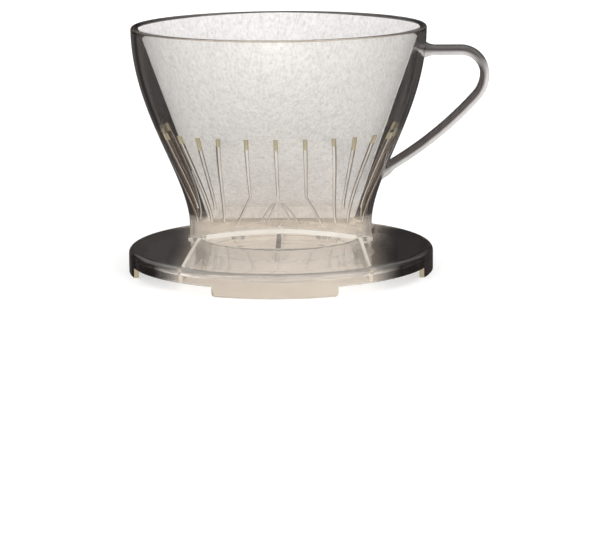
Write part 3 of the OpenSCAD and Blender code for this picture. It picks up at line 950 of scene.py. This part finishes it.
def wall_x(y, z):
    """Outer face of the cone on the handle's side."""
    n = power(z)
    return half_w(z) * (1 - (abs(y) / half_d(z)) ** n) ** (1 / n)


def handle_line():
    """Points and directions of the bar's centre line in the XZ plane, from the upper root."""
    line = []
    bend_x = BAR_REACH - TIGHT_R
    bend_z = BAR_Z - TIGHT_R
    start = wall_x(0, BAR_Z)
    straight = 8
    for k in range(straight + 1):
        line.append(((start + (bend_x - start) * k / straight, BAR_Z), (1, 0)))

    def bend(cx, cz, r, a0, a1, steps):
        for k in range(1, steps + 1):
            a = math.radians(a0 + (a1 - a0) * k / steps)
            line.append(((cx + r * math.cos(a), cz + r * math.sin(a)),
                         (math.sin(a), -math.cos(a))))

    bend(bend_x, bend_z, TIGHT_R, 90, 0, 18)
    bend(BAR_REACH - WIDE_R, bend_z, WIDE_R, 0, -WIDE_TURN, 10)
    end_x, end_z = line[-1][0]
    a = math.radians(-WIDE_TURN)
    bend(end_x - LONG_R * math.cos(a), end_z - LONG_R * math.sin(a), LONG_R,
         -WIDE_TURN, -WIDE_TURN - LONG_TURN, 24)
    (x, z), (tx, tz) = line[-1]
    travel = 0.0
    while x + tx * travel > wall_x(0, z + tz * travel):
        travel += FIND_STEP
    last = 6
    for k in range(1, last + 1):
        line.append(((x + tx * travel * k / last, z + tz * travel * k / last), (tx, tz)))
    return line


def handle_loop():
    line = handle_line()
    distance = [0.0]
    for (p, _), (q, _) in zip(line, line[1:]):
        distance.append(distance[-1] + math.dist(p, q))
    length = distance[-1]
    section = []
    corner, around = BAR_T / 2, 32
    for i in range(around):
        a = math.tau * (i + 0.5) / around
        flat = math.copysign(BAR_D / 2 - corner, math.sin(a))
        section.append((corner * math.cos(a), flat + corner * math.sin(a)))
    rows = []
    for k, ((x, z), (tx, tz)) in enumerate(line):
        near = min(distance[k], length - distance[k]) / ROOT_LEN
        grow = 1 + 2 * ROOT_SPREAD / BAR_T * max(0.0, 1 - near) ** ROOT_EASE
        row = []
        for across, y in section:
            px, pz = x - tz * across * grow, z + tx * across * grow
            if k in (0, len(line) - 1):
                way = -1 if k == 0 else 1
                dx, dz = way * tx * FIND_STEP, way * tz * FIND_STEP
                while px < wall_x(y, pz) + GAP:
                    px, pz = px - dx, pz - dz
                while px > wall_x(y, pz) + GAP + FIND_STEP:
                    px, pz = px + dx, pz + dz
            row.append((px, y, pz))
        rows.append(row)
    made = piece("handle_loop", skin(rows), [HANDLE_LIGHT_AND_SHADE])
    smooth(made, 50)
    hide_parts("upper_handle_root", "handle_upper_bar", "handle_bow",
                "handle_lower_bar", "lower_handle_root")
    return made


# ---- Paper filter -------------------------------------------------------------------------

SHEET_T = 0.25
# Half the depth of the crimped foot, where the two sheets lie together
FOOT_T = SHEET_T * 1.2
PAPER_FOOT_W = high("paper_foot_seam", "x")
PAPER_POWER = 1.8
POCKET_D = 0.9
MOUTH_D = high("paper_wall", "y")
# How fast the pocket closes into the foot
FOOT_EASE = 12
# Length of one wave of the crimp and half its height, and half the side seam's thickness
CRIMP = 1.5
CRIMP_H = 0.12
SEAM_HALF = 0.28
# The sheet stands in by up to DENT, and its upper edge dips by up to EDGE_WAVE
DENT = 0.28
EDGE_WAVE = 0.35


def paper_w(z):
    """Half width; PAPER_FOOT_W is that of the seam's upper end."""
    share = (z - PAPER_POCKET) / (PAPER_TOP - PAPER_POCKET)
    return PAPER_FOOT_W + (PAPER_W - PAPER_FOOT_W) * share


def paper_d(z):
    v = (z - PAPER_POCKET) / (PAPER_TOP - PAPER_POCKET)
    if v <= 0:
        return FOOT_T + (POCKET_D - FOOT_T) * max(0, 1 + v * FOOT_EASE)
    return POCKET_D + (MOUTH_D - POCKET_D) * (1 - (1 - v) ** FACE_EASE)


def paper_dent(degrees, z):
    """How far the sheet stands in from its full size: slow waves of a hand-opened filter."""
    a = math.radians(degrees)
    v = max(0.0, (z - PAPER_POCKET) / (PAPER_TOP - PAPER_POCKET))
    wave = math.sin(5 * a + 0.6) * math.sin(3.1 * v + 0.4) + 0.6 * math.sin(9 * a + 5 * v)
    most = 1.6
    return DENT * v * (most + wave) / (2 * most)


def paper_ring(z, inset):
    ring = []
    for i in range(AROUND):
        degrees = 360 * i / AROUND
        edge = EDGE_WAVE * (1 + math.sin(math.radians(3 * degrees) + 1)) / 2
        level = z - edge * max(0.0, (z - PAPER_POCKET) / (PAPER_TOP - PAPER_POCKET)) ** 6
        shrink = inset + paper_dent(degrees, z)
        depth = max(0.05, paper_d(z) - shrink)
        x, y = oval_point(paper_w(z) - shrink, depth, PAPER_POWER, degrees)
        ripple = 0.0
        if z < PAPER_POCKET:
            ripple = CRIMP_H * math.sin(math.tau * x / CRIMP)
        ring.append((x, y + ripple, level))
    return ring


def paper_shell():
    steps = 44
    seam = [PAPER_LOW + (PAPER_POCKET - PAPER_LOW) * s for s in (0, 0.3, 0.6, 0.9, 0.97)]
    levels = [PAPER_POCKET + (PAPER_TOP - PAPER_POCKET) * (k / steps) ** 1.3
              for k in range(steps + 1)]
    rows = [paper_ring(z, 0) for z in seam + levels]
    rows += [paper_ring(z, SHEET_T) for z in reversed(levels)]
    return skin(rows)


def side_seam():
    """Crimped fin along the handle-side edge of the filter."""
    steps = 150
    start, length = PAPER_LOW + 0.6, PAPER_TOP - 0.8 - PAPER_LOW
    inward, outward = 0.9, 0.5
    rows = []
    for k in range(steps + 1):
        z = start + length * k / steps
        bend = CRIMP_H * math.sin(math.tau * z / CRIMP)
        inner = paper_w(z) - inward
        outer = min(paper_w(z) + outward, PAPER_W)
        rows.append([(inner, bend - SEAM_HALF, z), (outer, bend - SEAM_HALF, z),
                     (outer, bend + SEAM_HALF, z), (inner, bend + SEAM_HALF, z)])
    return skin(rows)


def paper_filter():
    made = piece("paper_filter", paper_shell(), [PAPER])
    combine(made, side_seam(), [PAPER])
    smooth(made, 50)
    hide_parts("paper_wall", "paper_foot_seam", "paper_side_seam")
    return made


# ---- Assembly -----------------------------------------------------------------------------

# The clear pieces cast no shadow, so that the paper inside them is lit
for part in (ribbed_cone(), drip_floor(), flange(), handle_loop()):
    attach(part, "dripper")
    part.visible_shadow = False
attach(paper_filter(), "paper_filter")


# ---- Stage, light and camera --------------------------------------------------------------

def sheet_of_floor(name, outline, z, material):
    """A flat face on the stage, in metres."""
    mesh = bpy.data.meshes.new(name)
    mesh.from_pydata([(x, y, z) for x, y in outline], [], [list(range(len(outline)))])
    mesh.materials.append(material)
    made = bpy.data.objects.new(name, mesh)
    bpy.context.scene.collection.objects.link(made)
    return made


# Tones of the room, for the camera and for matt surfaces
BACKDROP_TONE, ROOM_TONE = 0.96, 0.66
# What clear plastic looks into, from straight down (0) to straight up (1): dark at the sides
# and a wide light overhead, with upright streaks
DARK_SIDES = [(0.0, (0.055, 0.047, 0.045)), (0.62, (0.07, 0.064, 0.062)),
              (0.8, (0.9, 0.88, 0.85))]
STREAK_SCALE = 7
STREAK_STRETCH = (1, 1, 0.12)
STREAK_RANGE = (0.4, 0.6, 0.4, 1.6)


def pale_world():
    """A pale room for the camera and for matt surfaces; clear plastic looks into a dark one
    with a wide light overhead, as long as its ray has met no matt surface."""
    world = bpy.data.worlds.new("studio")
    bpy.context.scene.world = world
    world.use_nodes = True
    made = Nodes(world.node_tree, "Generated")
    dark = made.ramp(made.span(made.parts()["Z"], -1, 1, 0, 1), DARK_SIDES)
    streaks = made.span(made.noise(STREAK_SCALE, stretch=STREAK_STRETCH), *STREAK_RANGE)
    streaked = made.mix(1, dark, streaks, "MULTIPLY")
    path = made.nodes.new("ShaderNodeLightPath").outputs
    through = made.math("MAXIMUM", path["Is Transmission Ray"], path["Is Glossy Ray"])
    seen = made.math("LESS_THAN", path["Diffuse Depth"], 0.5)
    room = made.math("ADD", made.math("MULTIPLY", path["Is Camera Ray"],
                                      BACKDROP_TONE - ROOM_TONE), ROOM_TONE)
    color = made.mix(made.math("MULTIPLY", through, seen), room, streaked)
    made.feed(made.nodes["Background"].inputs["Color"], color)


LIGHT_AIM = Vector((0, 0, 0.05))


def softbox(name, place, size, power, shine=True, through=True):
    """A light panel aimed at the object, with its place and size in metres and its power in
    watts. shine shows it in reflections, and through shows it through clear plastic."""
    light = bpy.data.lights.new(name, "AREA")
    light.shape = "RECTANGLE"
    light.size, light.size_y = size
    light.energy = power
    made = bpy.data.objects.new(name, light)
    made.location = place
    aim = LIGHT_AIM - Vector(place)
    made.rotation_euler = aim.to_track_quat("-Z", "Y").to_euler()
    made.visible_glossy = shine
    made.visible_transmission = through
    bpy.context.scene.collection.objects.link(made)


FLOOR = pale_floor("pale_floor", (0.80, 0.80, 0.80), (0.78, 0.78, 0.78), glow=0.3)
# The patch turns to a painted dark shade 36 to 46 mm from the middle plane
MOUTH_FLOOR = pale_floor("mouth_floor", (0.80, 0.73, 0.65), (0.74, 0.67, 0.60), (36, 46))
# The camera and matt surfaces see the wide floor. Clear plastic sees only a patch along the
# windows, where a cup's mouth would be: an arc at the front and straight sides behind it. The
# two lie a little below the standing plane.
WIDE, WIDE_Z = 8, -0.00005
MOUTH_W, MOUTH_R, MOUTH_BACK, MOUTH_Z = 0.047, 0.0607, 0.11, -0.00002
MOUTH_STEPS = 24

floor = sheet_of_floor("pale_floor", [(-WIDE, -WIDE), (WIDE, -WIDE), (WIDE, WIDE),
                                      (-WIDE, WIDE)], WIDE_Z, FLOOR)
floor.visible_transmission = False
floor.visible_glossy = False
turns = [math.asin(MOUTH_W / MOUTH_R) * k / MOUTH_STEPS
         for k in range(-MOUTH_STEPS, MOUTH_STEPS + 1)]
mouth = sheet_of_floor("floor_at_the_windows",
                       [(MOUTH_R * math.sin(a), -MOUTH_R * math.cos(a)) for a in turns]
                       + [(MOUTH_W, MOUTH_BACK), (-MOUTH_W, MOUTH_BACK)], MOUTH_Z,
                       MOUTH_FLOOR)
mouth.visible_camera = False
mouth.visible_shadow = False
mouth.visible_diffuse = False
pale_world()
softbox("front_softbox", place=(0.0, -1.5, 0.25), size=(1.2, 0.6), power=10, shine=False)
softbox("back_softbox", place=(0.2, 1.6, 0.45), size=(1.2, 0.6), power=10, shine=False,
        through=False)
softbox("left_softbox", place=(-0.9, -0.9, 0.9), size=(0.7, 0.9), power=3)
softbox("right_softbox", place=(0.9, -0.5, 0.8), size=(0.6, 0.9), power=3)
softbox("top_softbox", place=(0.0, 0.1, 1.3), size=(1.0, 1.0), power=2)

# The camera stands a little towards the handle and looks down on the flange. It aims at a
# point beside and below the frame's origin.
CAMERA_AZIMUTH = math.radians(2.218)
CAMERA_ELEVATION = math.radians(11.621)
CAMERA_ROLL = math.radians(-0.555)
CAMERA_DISTANCE = 1.1
CAMERA_LENS = 164.4
CAMERA_SENSOR = 36
CAMERA_AIM_X = 7.12
CAMERA_AIM_Z = -4.41


def camera():
    sa, ca = math.sin(CAMERA_AZIMUTH), math.cos(CAMERA_AZIMUTH)
    se, ce = math.sin(CAMERA_ELEVATION), math.cos(CAMERA_ELEVATION)
    back = Vector((sa * ce, -ca * ce, se))
    right = Vector((ca, sa, 0))
    up = back.cross(right)
    sr, cr = math.sin(CAMERA_ROLL), math.cos(CAMERA_ROLL)
    side, top = right * cr + up * sr, up * cr - right * sr
    target = (right * CAMERA_AIM_X + Vector((0, 0, CAMERA_AIM_Z))) * MM
    lens = bpy.data.cameras.new("camera")
    lens.lens = CAMERA_LENS
    lens.sensor_width = CAMERA_SENSOR
    lens.sensor_fit = "HORIZONTAL"
    made = bpy.data.objects.new("camera", lens)
    bpy.context.scene.collection.objects.link(made)
    turn = Matrix((side, top, back)).transposed().to_4x4()
    made.matrix_world = Matrix.Translation(target + back * CAMERA_DISTANCE) @ turn
    bpy.context.scene.camera = made


camera()
bpy.context.scene.view_settings.view_transform = "Standard"
